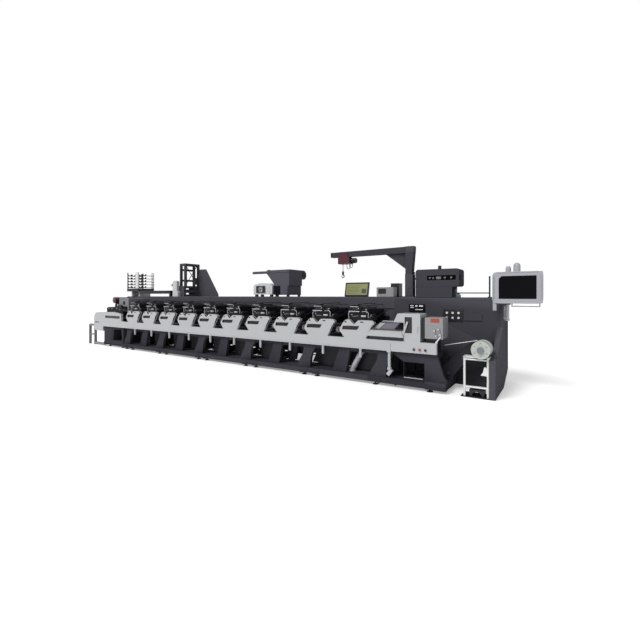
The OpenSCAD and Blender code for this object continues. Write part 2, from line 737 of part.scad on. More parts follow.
// White guide box on the housing beside the tower, with its knob
module guide_box() color(white) at_centre() translate([0, house_y + 20, 0]) {
    x0 = unit_pitch + 8;
    along_y(90) polygon([
        [x0, house_top], [x0 + 240, house_top], [x0 + 240, house_top + 120], [x0 + 190, house_top + 160],
        [x0 + 190, house_top + 430], [x0 + 160, house_top + 447], [x0 + 40, house_top + 447],
        [x0 + 12, house_top + 420], [x0, house_top + 140]
    ]);
    translate([x0 - 60, 45, house_top + 330]) bar_x(34, 80);
    translate([x0 - 84, 45, house_top + 330]) bar_x(78, 34);
}

// Open tower that takes the web over the housing, with a fin plate behind it
module web_tower() color(black) at_centre() {
    x0 = unit_pitch + 145;
    x1 = x0 + 252;
    y0 = house_y + 160;
    y1 = house_y + 661;
    top = house_top + tower_h;
    tube = 60;
    base_top = house_top + 300;
    difference() {
        span([x0 - 30, y0 - 40, house_top], [x1, y1, base_top]);
        for (z = [house_top + 60, house_top + 200])
            span([x0 - 31, y0 + 30, z], [x1 + 1, y0 + 330, z + 40]);
    }
    for (x = [x0, x1 - tube], y = [y0, y1 - tube])
        span([x, y, base_top - eps], [x + tube, y + tube, top]);
    for (y = [y0, y1 - tube])
        span([x0 + tube - eps, y, top - tube], [x1 - tube + eps, y + tube, top]);
    for (x = [x0, x1 - tube])
        span([x, y0 + tube - eps, top - tube], [x + tube, y1 - tube + eps, top]);
    for (a = [[base_top + 20, top - 60], [top - 60, base_top + 20]])
        translate([x1 - tube + 4, 0, 0]) along_x(12) polygon([
            [y0 + tube - 4, a[0]], [y0 + tube - 4, a[0] + 26],
            [y1 - tube + 4, a[1] + 26], [y1 - tube + 4, a[1]]
        ]);
    span([x1 - tube, y1 - 170, 1830], [x1 - 4, y1 - tube + eps, 2030]);
    for (z = [top - 180, base_top + 160])
        translate([x0 + tube / 2, y0 + tube - eps, z]) bar_y(60, y1 - y0 - 2 * tube + 2 * eps);
    translate([0, y1 - 41, 0]) along_y(40) polygon([
        [x1 - eps, house_top], [x1 - eps, 2280], [x1 + 298, 2280],
        [x1 + 818, house_top + 62], [x1 + 818, house_top]
    ]);
}

// Dryer hood: tapered body with a round drum along its rear, and a duct
module dryer_hood() color(dark) at_centre() {
    x1 = line_end - 2514;
    x0 = x1 - hood_l;
    top = house_top + hood_h;
    y0 = house_y + 20;
    foot_z = house_top + 36;
    drum_r = 107;
    drum_y = house_back + door_t - drum_r;
    intersection() {
        translate([x0, 0, 0]) along_x(hood_l) union() {
            polygon([
                [y0, foot_z], [y0, top - 14], [y0 + 20, top], [drum_y, top], [drum_y - 37, top - 2 * drum_r],
                [y0 + 497, top - 2 * drum_r], [y0 + 497, foot_z]
            ]);
            translate([drum_y, top - drum_r]) circle(r = drum_r);
        }
        translate([0, y0, 0]) along_y(700) polygon([
            [x0, top], [x0, top - 112], [x0 + 196, top - 330], [x0 + 196, foot_z],
            [x1 - 30, foot_z], [x1 - 30, top - 366], [x1, top - 366], [x1, top]
        ]);
    }
    for (x = [x0 + 230, x1 - 90], y = [y0 + 20, y0 + 440])
        span([x, y, house_top], [x + 50, y + 40, foot_z + eps]);
    span([x0 + 200, y0 - 14, foot_z], [x1 - 36, y0 + eps, top - 372]);
    translate([x0 - 551, y0 + 100, top - 42]) bar_x(62, 580);
    translate([x0 - 72, y0 + 100, top - 42]) bar_x(120, 50);
}

// Blower box with a domed top and a square fan, on feet
module blower_box() at_centre() {
    x1 = line_end - 3010;
    x0 = x1 - 589;
    foot_z = house_top + 50;
    y0 = house_y + 20;
    color(white) translate([0, y0, 0]) along_y(300) {
        polygon([[x0, foot_z], [x1, foot_z], [x1, 1740], [x1 - 60, 1776], [x1 - 200, 1800], [x1 - 300, 1806],
                 [x1 - 420, 1798], [x0 + 40, 1774], [x0, 1740]]);
    }
    color(black) translate([0, y0 - 14, 0]) along_y(15) difference() {
        round_rect([x0 + 97, 1575], [x0 + 377, 1740], 10);
        translate([x0 + 237, 1657]) circle(d = 140);
    }
    color(black) translate([x0 + 237, y0 - 10, 1657]) bar_y(50, 11);
    color(black) for (x = [x0 + 30, x1 - 90], y = [y0 + 20, y0 + 220])
        span([x, y, house_top], [x + 60, y + 60, foot_z + eps]);
}

// Slanted drain pipe in the last bay, from the rail down to the tray
module drain_pipe() color(light) at_centre() {
    top = [line_end - 323, 572];
    low = [line_end - 545, 172];
    lean = atan2(top[0] - low[0], top[1] - low[1]);
    len = norm(top - low);
    pipe_d = 96;
    pipe_y = leg_y + leg_t + pipe_d / 2 + 12;
    translate([low[0], pipe_y, low[1]]) rotate([0, lean, 0]) {
        cylinder(d = pipe_d, h = len);
        translate([0, 0, len - 80]) cylinder(d = pipe_d + 18, h = 26);
        translate([0, 0, 90]) cylinder(d = pipe_d + 12, h = 16);
    }
    translate([low[0], pipe_y, beam_top + 8]) cylinder(d = pipe_d + 30, h = 34);
    span([top[0] - 60, leg_y + leg_t - 10, apron_z - 56], [top[0] + 10, pipe_y, apron_z - 26]);
}

// Dark lifting arm between the base and the end wall
module lift_arm() color(dark) at_centre() translate([0, inner_y - 200, 0]) {
    x0 = base_x1 - 150;
    x1 = wall_end - 300;
    along_y(270 - 70) polygon([
        [x0, 210], [x0 + 60, beam_top], [base_x1 - 2, beam_top], [base_x1 + 10, 210],
        [x1, 700], [x1 - 20, 780],
        [x1 - 110, 780], [x0, 350]
    ]);
    translate([x1 - 56, -30, 730]) bar_y(70, house_y - inner_y + 230);
    translate([x0 + 90, -16, 260]) bar_y(60, 20);
}

// Tubular stand at the right with its saddled table under the roll, foot plate
module right_stand() at_centre() {
    color(white) for (x = [stand_x0, stand_x1])
        translate([x, 30, 10]) cylinder(d = 34, h = table_z - 10 + eps);
    color(white) difference() {
        translate([0, 20, table_z]) linear_extrude(18)
            round_rect([stand_x0 - 24, 0], [toe_x, 160], 10);
        translate([disc_x, 0, disc_z]) bar_y(disc_d + 2 * clear_gap, 300);
    }
    color(white) for (z = [150, table_z - 24])
        translate([stand_x0, 30, z]) bar_x(24, stand_x1 - stand_x0);
    color(white) translate([0, 26, 0]) along_y(8) polygon([
        [stand_x1 - 8, 330], [stand_x1 - 8, 424], [stand_x1 - 26, 460], [stand_x1 - 52, 458],
        [stand_x1 - 70, 380], [stand_x1 - 100, 336]
    ]);
    color(black) span([stand_x0 - 50, 0, 0], [toe_x, 300, 14]);
    color(black) translate([stand_x0 + 60, 60, 13]) along_y(140) difference() {
        square([210, 96]);
        translate([105, 0]) circle(d = 130);
    }
}

// Rewound roll between two flanges, with its hub and the spindle to the wall
module rewind_disc() at_centre() translate([disc_x, disc_y, disc_z]) {
    flange = 12;
    color(white) difference() {
        union() {
            bar_y(disc_d, flange);
            bar_y(disc_d - 12, roll_w);
            translate([0, roll_w - flange, 0]) bar_y(disc_d, flange);
        }
        for (a = [0:60:300])
            rotate([0, a, 0]) translate([0, -1, disc_d * 0.36]) bar_y(24, flange);
    }
    color(steel) translate([0, front_y - disc_y, 0]) bar_y(92, disc_y - front_y + eps);
    color(steel) translate([0, roll_w - eps, 0]) bar_y(spindle_d, house_y - disc_y - roll_w - 12);
}

// Monitor post on the side of the end wall: bracket plates and a bored tube
module monitor_post() at_centre() translate([mpost_x, mpost_y, 0]) {
    color(light) difference() {
        translate([0, 0, 1120]) cylinder(d = mpost_d, h = mpost_top - 1120);
        translate([0, 0, mpost_top - 60]) cylinder(d = swivel_d + 2 * run_gap, h = 61);
    }
    color(light) translate([0, 0, 1096]) cylinder(d = mpost_d + 20, h = 24 + eps);
    for (z = [1130, 1290])
        color(dark) span([wall_end - mpost_x, -40, z], [0, 40, z + 26]);
    color(dark) span([wall_end - mpost_x, -50, 1110], [wall_end - mpost_x + 10, 50, 1340]);
}

// Monitor with bezel, chamfered corner, handle bar, rear arm and swivel pin
module monitor() at_centre() translate([0, 0, monitor_z]) {
    sleeve_z = mpost_top + seat - monitor_z;
    arm_low = wall_top + clear_gap + 2 - monitor_z;
    color(light) translate([monitor_x, monitor_face, 0]) difference() {
        along_y(monitor_t) difference() {
            round_rect([0, 0], [monitor_w, monitor_h], 14);
            translate([-1, monitor_h + 1]) rotate(-45) square([44, 44], center = true);
        }
        translate([0, -1, 0]) along_y(9) difference() {
            translate([85, 66]) square([monitor_w - 165, monitor_h - 128]);
            translate([84, monitor_h - 61]) rotate(-45) square([60, 60], center = true);
        }
    }
    color(grey) translate([monitor_x + 60, monitor_face + monitor_t - eps, 60])
        cube([monitor_w - 120, 34, monitor_h - 120]);
    color(light) translate([monitor_x + 260, monitor_face + 20, -46]) {
        bar_x(22, monitor_w - 290);
        for (x = [10, monitor_w - 300])
            translate([x, 0, 0]) cylinder(d = 20, h = 48);
    }
    color(light) span([monitor_x, monitor_face + 12, -116], [monitor_x + 50, monitor_face + 44, eps]);
    color(light)
        span([mpost_x - 30, monitor_face + monitor_t - eps, arm_low], [mpost_x + 30, mpost_y, arm_low + 44]);
    color(light) translate([mpost_x, mpost_y, sleeve_z]) cylinder(d = mpost_d, h = arm_low + 44 - sleeve_z);
    color(steel) translate([mpost_x, mpost_y, sleeve_z - 55]) cylinder(d = swivel_d, h = 56);
    for (k = [0, 1]) color(grey) translate([mpost_x + 50 + 119 * k, monitor_face + 50, monitor_h - eps]) {
        cylinder(d = 76 + 22 * k, h = 58 + 34 * k);
        translate([0, 0, 58 + 34 * k]) sphere(d = 76 + 22 * k);
    }
}

base_frame(0);  // base_frame_1
base_frame(1);  // base_frame_2
base_frame(2);  // base_frame_3
base_frame(3);  // base_frame_4
base_frame(4);  // base_frame_5
left_base();
right_base();
drive_boxes();
drive_housings();
left_housing();
end_wall();
wall_panels();
apron(0);  // apron_1
apron(1);  // apron_2
apron(2);  // apron_3
apron(3);  // apron_4
apron(4);  // apron_5
left_apron();
right_apron();
print_units(0);  // print_units_1
print_units(1);  // print_units_2
print_units(2);  // print_units_3
print_units(3);  // print_units_4
print_units(4);  // print_units_5
unwind_unit();
unwind_roll();
left_stand();
upper_cabinet();
crane_socket();
crane_jib();
hoist();
display();
console();
window_cab();
control_boxes();
roll_rack();
guide_box();
web_tower();
dryer_hood();
blower_box();
drain_pipe();
lift_arm();
right_stand();
rewind_disc();
monitor_post();
monitor();
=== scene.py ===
"""Dresses the inline label press: materials, trim, screens, light and camera."""
import math

import bmesh
import bpy
from mathutils import Matrix, Vector


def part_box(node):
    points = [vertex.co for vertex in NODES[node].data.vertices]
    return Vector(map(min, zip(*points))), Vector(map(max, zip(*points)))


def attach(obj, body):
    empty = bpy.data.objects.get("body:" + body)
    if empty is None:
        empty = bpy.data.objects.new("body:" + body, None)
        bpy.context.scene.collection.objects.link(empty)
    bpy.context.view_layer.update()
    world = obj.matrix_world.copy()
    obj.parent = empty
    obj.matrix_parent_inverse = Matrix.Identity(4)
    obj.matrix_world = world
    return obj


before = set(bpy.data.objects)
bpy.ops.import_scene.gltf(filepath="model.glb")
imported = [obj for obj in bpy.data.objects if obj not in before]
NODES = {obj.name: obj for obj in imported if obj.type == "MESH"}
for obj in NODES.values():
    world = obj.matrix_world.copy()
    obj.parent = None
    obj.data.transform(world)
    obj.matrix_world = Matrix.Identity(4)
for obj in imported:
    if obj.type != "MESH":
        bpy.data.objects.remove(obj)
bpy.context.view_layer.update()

# Line coordinates are millimetres from the first joint and the front feet
FOOT_LEAD = 350
BEAM_FRONT = 63
LINE_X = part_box("base_frame_1")[0][0] + FOOT_LEAD / 1000
LINE_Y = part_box("base_frame_1")[0][1] + BEAM_FRONT / 1000
PITCH = 775
FIRST_NOTCH = -223
LINE_END = 7550
WALL_END = 9390
HOUSE_Y = 780
HOUSE_TOP = 1488
APRON_Y = -50
APRON_Z = 590
APRON_TOP = 765
BASE_X1 = LINE_END + 1160
CRANE = (LINE_END + 230, 1000)
HOIST_X = CRANE[0] - 1400


def at(x, y, z):
    """A point in line millimetres, in the row frame."""
    return Vector((LINE_X + x / 1000, LINE_Y + y / 1000, z / 1000))


# Materials


def socket(node, name, value):
    if name in node.inputs:
        node.inputs[name].default_value = value


class Paint:
    """Builds one node material step by step."""

    def __init__(self, name):
        self.mat = bpy.data.materials.new(name)
        self.mat.use_nodes = True
        self.tree = self.mat.node_tree
        self.tree.nodes.clear()
        self.out = self.add("ShaderNodeOutputMaterial")
        self.bsdf = self.add("ShaderNodeBsdfPrincipled")
        self.link(self.bsdf.outputs[0], self.out.inputs[0])
        self.place = self.add("ShaderNodeTexCoord").outputs["Object"]

    def add(self, kind, **props):
        node = self.tree.nodes.new(kind)
        for key, value in props.items():
            setattr(node, key, value)
        return node

    def link(self, a, b):
        self.tree.links.new(a, b)

    def math(self, op, a, b=None, clamp=False):
        node = self.add("ShaderNodeMath", operation=op, use_clamp=clamp)
        for slot, value in zip(node.inputs, (a, b)):
            if value is None:
                continue
            if isinstance(value, (int, float)):
                slot.default_value = value
            else:
                self.link(value, slot)
        return node.outputs[0]

    def noise(self, scale, detail=3.0, stretch=None):
        node = self.add("ShaderNodeTexNoise")
        node.inputs["Scale"].default_value = scale
        node.inputs["Detail"].default_value = detail
        source = self.place
        if stretch:
            shape = self.add("ShaderNodeMapping")
            shape.inputs["Scale"].default_value = stretch
            self.link(self.place, shape.inputs["Vector"])
            source = shape.outputs[0]
        self.link(source, node.inputs["Vector"])
        return node.outputs["Fac"]

    def mix(self, fac, a, b):
        node = self.add("ShaderNodeMix", data_type="RGBA")
        for key, value in (("Factor", fac), ("A", a), ("B", b)):
            target = [s for s in node.inputs if s.name == key and s.enabled][0]
            if isinstance(value, (int, float)):
                target.default_value = value
            elif isinstance(value, (tuple, list)):
                target.default_value = (*value, 1.0) if len(value) == 3 else value
            else:
                self.link(value, target)
        return [s for s in node.outputs if s.enabled][0]

    def ramp(self, fac, low, high):
        node = self.add("ShaderNodeMapRange")
        self.link(fac, node.inputs["Value"])
        for key, value in (("From Min", low[0]), ("To Min", low[1]), ("From Max", high[0]), ("To Max", high[1])):
            node.inputs[key].default_value = value
        return node.outputs[0]

    def zone(self, box):
        """1 inside a box of line millimetres; the x range may repeat by a period."""
        if not hasattr(self, "xyz"):
            split = self.add("ShaderNodeSeparateXYZ")
            self.link(self.place, split.inputs[0])
            self.xyz = split.outputs
        mask = None
        offset = {"x": LINE_X, "y": LINE_Y, "z": 0.0}
        for i, key in enumerate("xyz"):
            if key not in box:
                continue
            low, high = (offset[key] + v / 1000 for v in box[key])
            value = self.xyz[i]
            if key == "x" and "period" in box:
                span = high - low
                value = self.math("SUBTRACT", value, low)
                value = self.math("FLOORED_MODULO", value, box["period"] / 1000)
                low, high = -1.0, span
            for op, edge in (("GREATER_THAN", low), ("LESS_THAN", high)):
                test = self.math(op, value, edge)
                mask = test if mask is None else self.math("MULTIPLY", mask, test)
        return mask


GRAIN = {
    "peel": (900.0, 0.06, 0.05),
    "texture": (420.0, 0.16, 0.08),
    "smooth": (240.0, 0.02, 0.04),
    "machined": (700.0, 0.05, 0.10),
}


def finish(name, color, rough=0.45, metal=0.0, grain="peel", zones=(), wear=0.0, coat=0.0, emit=None,
           gloss=0.5):
    """A surface with colour drift, grain bump and zones of other colours."""
    p = Paint(name)
    scale, bump, drift = GRAIN[grain]
    stretch = (1.0, 0.03, 1.0) if grain == "machined" else None
    broad = p.noise(2.2, 4.0)
    fine = p.noise(scale, 2.0, stretch)
    light = tuple(min(1.0, c * (1 + drift)) for c in color)
    dark = tuple(c * (1 - drift) for c in color)
    base = p.mix(broad, dark, light)
    rough_out = p.ramp(fine, (0.3, rough - 0.05), (0.7, rough + 0.06))
    metal_out = None
    if wear:
        geo = p.add("ShaderNodeNewGeometry")
        edge = p.ramp(geo.outputs["Pointiness"], (0.51, 0.0), (0.56, wear))
        base = p.mix(edge, base, tuple(min(1.0, c * 1.9 + 0.05) for c in color))
    for box, z_color, z_rough, z_metal in zones:
        mask = p.zone(box)
        base = p.mix(mask, base, z_color)
        rough_out = p.math("ADD", p.math("MULTIPLY", rough_out, p.math("SUBTRACT", 1.0, mask)),
                           p.math("MULTIPLY", mask, z_rough))
        metal_out = metal if metal_out is None else metal_out
        metal_out = p.math("ADD", p.math("MULTIPLY", metal_out, p.math("SUBTRACT", 1.0, mask)),
                           p.math("MULTIPLY", mask, z_metal))
    p.link(base, p.bsdf.inputs["Base Color"])
    p.link(rough_out, p.bsdf.inputs["Roughness"])
    if metal_out is None:
        p.bsdf.inputs["Metallic"].default_value = metal
    else:
        p.link(metal_out, p.bsdf.inputs["Metallic"])
    node = p.add("ShaderNodeBump")
    node.inputs["Strength"].default_value = bump
    node.inputs["Distance"].default_value = 0.001
    p.link(fine, node.inputs["Height"])
    p.link(node.outputs[0], p.bsdf.inputs["Normal"])
    socket(p.bsdf, "Coat Weight", coat)
    socket(p.bsdf, "Specular IOR Level", gloss)
    if emit:
        socket(p.bsdf, "Emission Color", (*color, 1.0))
        socket(p.bsdf, "Emission Strength", emit)
    return p.mat


# Linear colours
FRAME_DARK = (0.060, 0.060, 0.071)
BASE_DARK = (0.036, 0.036, 0.045)
HOOD_DARK = (0.100, 0.097, 0.120)
BLACK = (0.010, 0.0098, 0.014)
MATT = 0.001
LIGHT = (0.455, 0.465, 0.48)
WHITE = (0.74, 0.75, 0.75)
STEEL = (0.45, 0.46, 0.47)
ROLLER = (0.55, 0.56, 0.57)
GREY = (0.22, 0.22, 0.24)
RED = (0.085, 0.012, 0.024)
BEZEL = (0.38, 0.39, 0.42)
DISC = (0.47, 0.50, 0.47)

Y_IN, Y_OUT = 34, 776
STATION_ZONES = [
    ({"y": (-100, Y_IN + 1)}, BLACK, 0.42, 0.0),
    ({"y": (Y_OUT - 1, 900)}, BLACK, 0.42, 0.0),
    ({"z": (1046, 1400), "y": (38, 900)}, BLACK, 0.38, 0.0),
    ({"z": (1120, 1400), "y": (-100, 9)}, LIGHT, 0.35, 0.3),
    ({"x": (FIRST_NOTCH - 75, FIRST_NOTCH + 35), "period": PITCH, "y": (59, 900), "z": (820, 950)},
     (0.34, 0.32, 0.32), 0.35, 0.15),
]
UNWIND_ZONES = [
    ({"y": (-100, Y_IN + 1)}, BLACK, 0.42, 0.0),
    ({"y": (Y_OUT - 1, 900)}, BLACK, 0.42, 0.0),
    ({"x": (-1295, -861), "y": (243, 900), "z": (1045, 1480)}, BLACK, 0.42, 0.0),
    ({"x": (-861.5, -350), "y": (149, 900), "z": (1039, 1480)}, GREY, 0.42, 0.0),
    ({"x": (-641, -419), "y": (118, 152), "z": (1089, 1191)}, BLACK, 0.42, 0.0),
]
ARM_Z = 2316
HOIST_ZONES = [
    ({"z": (1800, ARM_Z - 154)}, BLACK, 0.4, 0.0),
    ({"x": (HOIST_X + 136, HOIST_X + 400)}, BLACK, 0.4, 0.0),
]
STAND_ZONES = [
    ({"z": (0, 15)}, BLACK, 0.4, 0.0),
    ({"z": (0, 112), "y": (55, 400)}, BLACK, 0.4, 0.0),
]
BLOWER_ZONES = [
    ({"y": (700, 799)}, BLACK, 0.4, 0.0),
    ({"z": (1400, 1537)}, BLACK, 0.4, 0.0),
]
BOX_X = BASE_X1 - 335
BOX_ZONES = [
    ({"x": (BOX_X - 100, BOX_X - 0.5)}, BLACK, 0.4, 0.0),
    ({"x": (BOX_X - 100, BOX_X + 400), "z": (500, 829)}, BLACK, 0.4, 0.0),
    ({"x": (LINE_END - 200, LINE_END + 100), "y": (1015, 1300)}, BLACK, 0.4, 0.0),
    ({"x": (LINE_END - 330, LINE_END - 170), "y": (700, 801), "z": (1540, 1640)}, BLACK, 0.2, 0.0),
]
X_RACK = -1603
RACK_ZONES = [
    ({"x": (X_RACK + 100, X_RACK + 605), "z": (HOUSE_TOP - 2, HOUSE_TOP + 159)}, (0.5, 0.5, 0.54), 0.4, 0.0),
    ({"x": (X_RACK - 1, X_RACK + 24), "y": (799, 831), "z": (1740, 2300)}, WHITE, 0.4, 0.0),
    ({"x": (X_RACK + 478, X_RACK + 630), "y": (799, 831), "z": (1740, 2300)}, WHITE, 0.4, 0.0),
    ({"x": (X_RACK + 518, X_RACK + 630), "y": (1314, 1346), "z": (1740, 2300)}, WHITE, 0.4, 0.0),
    ({"x": (X_RACK - 1, X_RACK + 30), "y": (1314, 1346), "z": (1740, 2300)}, WHITE, 0.4, 0.0),
]
CONSOLE_ZONES = [({"y": (-21, 400), "z": (700, APRON_TOP + 62)}, BLACK, 0.4, 0.0)]
CAB_ZONES = [({"x": (8050, 8190), "y": (APRON_Y + 2, APRON_Y + 15), "z": (890, 1170)}, BLACK, 0.45, 0.0)]
LEFT_STRIP = [
    ({"x": (-1280, -465), "y": (APRON_Y + 2, APRON_Y + 12), "z": (840, 925)}, (0.015, 0.015, 0.018), 0.5, 0.0),
    ({"x": (-1885, -1630), "y": (APRON_Y + 2, APRON_Y + 32), "z": (686, 720)}, BLACK, 0.4, 0.0),
]
LAST_NOTCH = FIRST_NOTCH + 9 * PITCH
COVER_ZONES = [
    # painted shade: black on the walls of the slots through the covers, where shade falls in the gap; the red zone is
    # the colour of a part in the last slot
    ({"y": (APRON_Y + 3, APRON_Y + 30), "z": (880, 1070)}, BLACK, 0.45, 0.0),
    ({"x": (LAST_NOTCH + 100, LAST_NOTCH + 290), "y": (APRON_Y + 3, APRON_Y + 30), "z": (880, 1070)}, RED, 0.4, 0.0),
]
DISC_ZONES = [
    ({"y": (-200, -60.5)}, GREY, 0.3, 0.6),
    ({"y": (-47.5, 167.5)}, (0.52, 0.53, 0.50), 0.3, 0.0),
    ({"y": (180.5, 900)}, STEEL, 0.3, 0.9),
]
CABINET_ZONES = [({"y": (HOUSE_Y + 1, HOUSE_Y + 118), "z": (1776, 1865)}, (0.012, 0.012, 0.014), 0.4, 0.0)]
PANEL_ZONES = [({"x": (WALL_END - 600, WALL_END - 300)}, FRAME_DARK, 0.42, 0.0)]
HOOD_X1 = LINE_END - 2514
HOOD_ZONES = [({"x": (HOOD_X1 - 440, HOOD_X1 - 240), "y": (700, HOUSE_Y + 8), "z": (1500, 1735)}, BLACK, 0.45, 0.0)]
MONITOR_ZONES = [({"y": (655, 760), "z": (1444, 1826), "x": (9320, 9895)}, GREY, 0.4, 0.0)]


def dress_nodes():
    plain = {
        "dark": finish("frame_enamel", FRAME_DARK, 0.5, grain="texture", wear=0.2, gloss=MATT),
        "black": finish("black_enamel", BLACK, 0.45, grain="texture", wear=0.15, gloss=0.3),
        "light": finish("apron_enamel", LIGHT, 0.36, grain="peel", zones=COVER_ZONES, coat=0.15),
    }
    own = {
        "left_apron": finish("left_body_enamel", LIGHT, 0.36, zones=LEFT_STRIP, coat=0.15),
        "right_apron": finish("right_apron_enamel", LIGHT, 0.36, coat=0.15),
        "console": finish("console_enamel", LIGHT, 0.36, zones=CONSOLE_ZONES, coat=0.15),
        "window_cab": finish("cabin_enamel", LIGHT, 0.36, zones=CAB_ZONES, coat=0.15),
        # painted shade: the control boxes are white, and their grey colour stands in for the shade that falls on them
        "control_boxes": finish("box_white_painted_shade", (0.28, 0.28, 0.29), 0.4, zones=BOX_ZONES),
        "unwind_unit": finish("unwind_rollers", ROLLER, 0.24, 0.95, "machined", UNWIND_ZONES, gloss=0.1),
        "unwind_roll": finish("wound_film", RED, 0.3, grain="smooth", coat=0.3),
        "left_stand": finish("stand_grey", (0.20, 0.20, 0.21), 0.4),
        "right_stand": finish("stand_white", WHITE, 0.4, zones=STAND_ZONES),
        "blower_box": finish("blower_white", (0.6, 0.61, 0.62), 0.4, zones=BLOWER_ZONES),
        "guide_box": finish("guide_white", (0.6, 0.61, 0.62), 0.4),
        "roll_rack": finish("rack_enamel", BLACK, 0.4, grain="texture", zones=RACK_ZONES),
        "hoist": finish("hoist_red", RED, 0.35, zones=HOIST_ZONES),
        "rewind_disc": finish("disc_board", DISC, 0.45, grain="smooth", zones=DISC_ZONES),
        "monitor": finish("monitor_shell", BEZEL, 0.4, grain="smooth", zones=MONITOR_ZONES),
        "monitor_post": finish("post_enamel", (0.62, 0.62, 0.64), 0.4),
        "upper_cabinet": finish("cabinet_enamel", FRAME_DARK, 0.5, grain="texture", zones=CABINET_ZONES, gloss=MATT),
        "drain_pipe": finish("pipe_grey", (0.42, 0.43, 0.45), 0.4),
        "wall_panels": finish("panel_black", BLACK, 0.4, grain="texture", zones=PANEL_ZONES, gloss=MATT),
        "dryer_hood": finish("hood_enamel", HOOD_DARK, 0.5, grain="texture", zones=HOOD_ZONES, gloss=MATT),
        "base": finish("base_enamel", BASE_DARK, 0.5, grain="texture", wear=0.2, gloss=MATT),
        "unit": finish("station_parts", ROLLER, 0.24, 0.95, "machined", STATION_ZONES, gloss=0.2),
    }
    light = ("apron",)
    black = ("drive_boxes", "display")
    for name, obj in NODES.items():
        if name in own:
            mat = own[name]
        elif name.startswith("print_units"):
            mat = own["unit"]
        elif name.startswith(("base_frame", "left_base", "right_base", "lift_arm")):
            mat = own["base"]
        elif name.startswith(light):
            mat = plain["light"]
        elif name in black:
            mat = plain["black"]
        else:
            mat = plain["dark"]
        for slot in obj.material_slots:
            slot.material = mat


# Geometry helpers


class Shape:
    """Collects bevelled boxes, discs and rods into one mesh, in line millimetres."""

    def __init__(self):
        self.bm = bmesh.new()

    def _place(self, verts, matrix):
        bmesh.ops.transform(self.bm, matrix=matrix, verts=verts)

    def box(self, low, high, bevel=0.0, turn=None):
        a, b = at(*low), at(*high)
        size = b - a
        made = bmesh.ops.create_cube(self.bm, size=1.0)["verts"]
        self._place(made, Matrix.Diagonal((*size, 1.0)))
        if bevel:
            edges = {e for v in made for e in v.link_edges}
            made = bmesh.ops.bevel(self.bm, geom=list(edges), offset=bevel / 1000, segments=2,
                                   profile=0.6, affect="EDGES")["verts"]
            made = list({v for f in self.bm.faces if any(w in made for w in f.verts) for v in f.verts}) \
                if not made else list({v for v in made})
        matrix = Matrix.Translation((a + b) / 2)
        if turn:
            matrix = matrix @ Matrix.Rotation(math.radians(turn[1]), 4, turn[0])
        self._place(made, matrix)
        return self

    def rod(self, start, end, d, sides=20, d2=None):
        a, b = at(*start), at(*end)
        line = b - a
        made = bmesh.ops.create_cone(self.bm, cap_ends=True, segments=sides, radius1=d / 2000,
                                     radius2=(d if d2 is None else d2) / 2000, depth=line.length)["verts"]
        turn = line.to_track_quat("Z", "Y").to_matrix().to_4x4()
        self._place(made, Matrix.Translation((a + b) / 2) @ turn)
        return self

    def run(self, points, d, sides=10):
        """A bent tube through a list of points."""
        for start, end in zip(points, points[1:]):
            self.rod(start, end, d, sides)
        return self

    def bolt(self, spot, axis, d=18, h=9):
        """A hex head on its washer, standing out along axis."""
        end = [c + h * k for c, k in zip(spot, axis)]
        base = [c + 2.5 * k for c, k in zip(spot, axis)]
        self.rod(spot, base, d * 1.45, 20)
        self.rod(base, end, d, 6, d * 0.94)
        return self

    def plate(self, points, y0, y1):
        """A flat outline of (x, z) points between two y values."""
        ring = [self.bm.verts.new(at(x, y0, z)) for x, z in points]
        face = self.bm.faces.new(ring)
        made = bmesh.ops.extrude_face_region(self.bm, geom=[face])["geom"]
        bmesh.ops.translate(self.bm, vec=(0, (y1 - y0) / 1000, 0),
                            verts=[v for v in made if isinstance(v, bmesh.types.BMVert)])
        return self

    def done(self, name, mat, body="press", slot=None, smooth=False):
        bmesh.ops.recalc_face_normals(self.bm, faces=self.bm.faces)
        mesh = bpy.data.meshes.new(name)
        self.bm.to_mesh(mesh)
        self.bm.free()
        if smooth:
            for f in mesh.polygons:
                f.use_smooth = True
        obj = bpy.data.objects.new(name, mesh)
        bpy.context.scene.collection.objects.link(obj)
        mesh.materials.append(mat)
        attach(obj, body)
        return obj


def stations():
    """The notch x of every station."""
    return [FIRST_NOTCH + PITCH * i for i in range(10)]


def joints():
    """The x of every module joint."""
    return [2 * PITCH * i for i in range(6)]


# Trim on the frame


def frame_trim(steel):
    nuts = Shape()
    for x in joints():
        for dx in (-161, 134):
            if x + dx > 7900:
                continue
            nuts.rod((x + dx, 0, 27), (x + dx, 0, 43), 40, 6)
            nuts.rod((x + dx, 0, 43), (x + dx, 0, 47), 54, 24)
        for dx, z in ((-150, 560), (-60, 560), (40, 560), (-250, 165), (-120, 165)):
            nuts.bolt((x + dx, 10, z), (0, -1, 0))
    for x in joints()[:-1]:
        for dx, z in ((PITCH - 120, 560), (PITCH + 10, 560), (PITCH - 250, 160), (PITCH - 90, 160)):
            nuts.bolt((x + dx, 10, z), (0, -1, 0))
        for dx in (-320, -20, 280, 620, 900, 1150):
            nuts.bolt((x + dx, -55, 95), (0, -1, 0), 15, 7)
    nuts.done("frame_bolts", steel, slot="dark_enamel")


def lever_trim(light, steel):
    levers = Shape()
    for x in (5594, 6278, 4044, 4728):
        levers.rod((x - 26, 4, 412), (x + 26, 4, 416), 20, 16)
        levers.rod((x, 4, 414), (x, 12, 414), 14, 12)
    levers.done("clamp_levers", light, slot="white_enamel", smooth=False)


